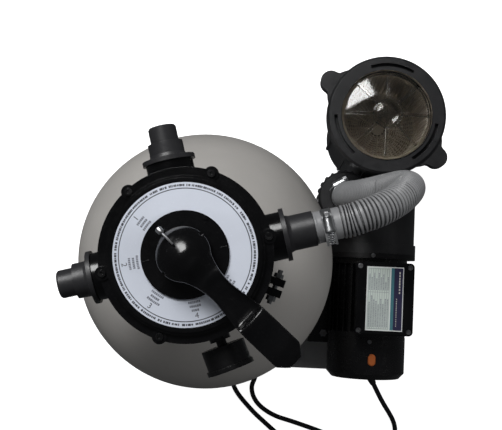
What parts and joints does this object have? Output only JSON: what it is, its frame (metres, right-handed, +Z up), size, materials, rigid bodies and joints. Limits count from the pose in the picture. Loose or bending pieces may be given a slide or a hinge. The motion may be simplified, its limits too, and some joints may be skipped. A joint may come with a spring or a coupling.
{
  "type": "sand filter unit",
  "caption": "Round sand filter tank with a top multiport valve and lever, a strainer pump, a transfer hose and a shared base, for a small pool.",
  "frame": {"origin": "on the tank's vertical axis, at the underside of the base", "axes": "+Z up along the tank's axis; the pump's shaft runs along Y, with the strainer towards +Y and the pump on the +X side of the tank"},
  "size_m": [0.4935, 0.6655, 0.6007],
  "materials": {
    "tank_plastic": "satin moulded grey plastic",
    "base_plastic": "satin moulded dark grey plastic",
    "black_gloss": "glossy black moulded plastic",
    "black_satin": "satin black moulded plastic",
    "dark_grey_plastic": "matte dark grey glass-filled plastic",
    "white_plastic": "natural white plastic",
    "label_print": "bluish white printed film",
    "plate_print": "printed film with pale table and dark stripe",
    "dial_white": "white painted dial",
    "needle_red": "red paint",
    "rubber_black": "matte black rubber",
    "steel": "zinc plated or stainless steel",
    "core_steel": "laminated steel",
    "motor_paint": "glossy black paint on cast aluminium",
    "clear_plastic": "clear moulded plastic",
    "hose_grey": "satin grey flexible plastic",
    "cord_black": "satin black rubber sheath"
  },
  "bodies": {
    "filter_unit": {"base_plate": "base_plastic", "tank_shell": "tank_plastic", "standpipe": "white_plastic", "lateral_hub": "white_plastic", "lateral_tubes": "white_plastic", "tank_drain_plug": "black_satin", "clamp_half_front": "black_satin", "clamp_half_rear": "black_satin", "clamp_bolts": "steel", "neck_oring": "rubber_black", "valve_body": "black_gloss", "spider_gasket": "rubber_black", "valve_cover": "black_gloss", "cover_screws": "steel", "position_label": "label_print", "hose_tail_pump": "black_satin", "hose_tail_return": "black_satin", "hose_tail_waste": "black_satin", "gauge_case": "black_satin", "gauge_dial": "dial_white", "gauge_lens": "clear_plastic", "strainer_pot": "dark_grey_plastic", "pump_volute": "dark_grey_plastic", "seal_plate": "black_satin", "shaft_seal": "rubber_black", "bearings": "steel", "union_nut": "dark_grey_plastic", "discharge_tail": "dark_grey_plastic", "pump_drain_plugs": "black_satin", "motor_housing": "motor_paint", "motor_screws": "steel", "stator_core": "core_steel", "fan_cowl": "motor_paint", "motor_foot": "motor_paint", "foot_screws": "steel", "terminal_box": "black_gloss", "terminal_lid": "black_gloss", "box_screws": "steel", "rating_plate": "plate_print", "capacitor": "white_plastic", "transfer_hose": "hose_grey", "hose_clamps": "steel", "strain_relief": "rubber_black", "cord_run": "cord_black", "cord_coil": "cord_black", "mains_plug": "rubber_black"},
    "turn_collar": {"pressure_washer": "black_satin", "rotor_spring": "steel"},
    "valve_stem": {"valve_rotor": "white_plastic", "handle_pin": "steel"},
    "handle": {"valve_handle": "black_gloss"},
    "gauge_pointer": {"gauge_needle": "needle_red"},
    "strainer_lid": {"lid_dome": "clear_plastic", "lid_oring": "rubber_black"},
    "lid_ring": {"lid_ring": "dark_grey_plastic"},
    "basket": {"strainer_basket": "white_plastic"},
    "motor_rotor": {"pump_shaft": "steel", "impeller": "white_plastic", "rotor_core": "core_steel", "cooling_fan": "white_plastic"}
  },
  "joints": [
    {"name": "valve_turn", "type": "hinge", "parent": "filter_unit", "child": "turn_collar", "pos_m": [0, 0, 0.56371], "axis": [0, 0, 1], "continuous": true},
    {"name": "stem_lift", "type": "slide", "parent": "turn_collar", "child": "valve_stem", "axis": [0, 0, 1], "range_m": [0, 0.0061], "deforming": ["rotor_spring"]},
    {"name": "lever_press", "type": "hinge", "parent": "valve_stem", "child": "handle", "pos_m": [0, 0, 0.58221], "axis": [0.6561, 0.7547, 0], "range_deg": [0, 10], "stiffness_Nm_per_rad": 6, "springref_deg": -8.59},
    {"name": "gauge_needle_turn", "type": "hinge", "parent": "filter_unit", "child": "gauge_pointer", "pos_m": [0.04161, -0.09803, 0.50011], "axis": [0.3907, -0.9205, 0], "range_deg": [-270, 0], "stiffness_Nm_per_rad": 0.002, "springref_deg": 5.73},
    {"name": "lid_lift", "type": "slide", "parent": "filter_unit", "child": "strainer_lid", "axis": [0, 0, 1], "range_m": [0, 0.24]},
    {"name": "ring_turn", "type": "hinge", "parent": "strainer_lid", "child": "lid_ring", "pos_m": [0.236, 0.203, 0.282], "axis": [0, 0, 1], "range_deg": [0, 60]},
    {"name": "basket_lift", "type": "slide", "parent": "filter_unit", "child": "basket", "axis": [0, 0, 1], "range_m": [0, 0.121]},
    {"name": "motor_spin", "type": "hinge", "parent": "filter_unit", "child": "motor_rotor", "pos_m": [0.236, 0, 0.115], "axis": [0, 1, 0], "continuous": true}
  ],
  "couplings": [
    {"joint": "stem_lift", "follows": "lever_press", "m_per_rad": 0.034377},
    {"joint": "basket_lift", "follows": "lid_lift", "ratio": 0.5}
  ]
}
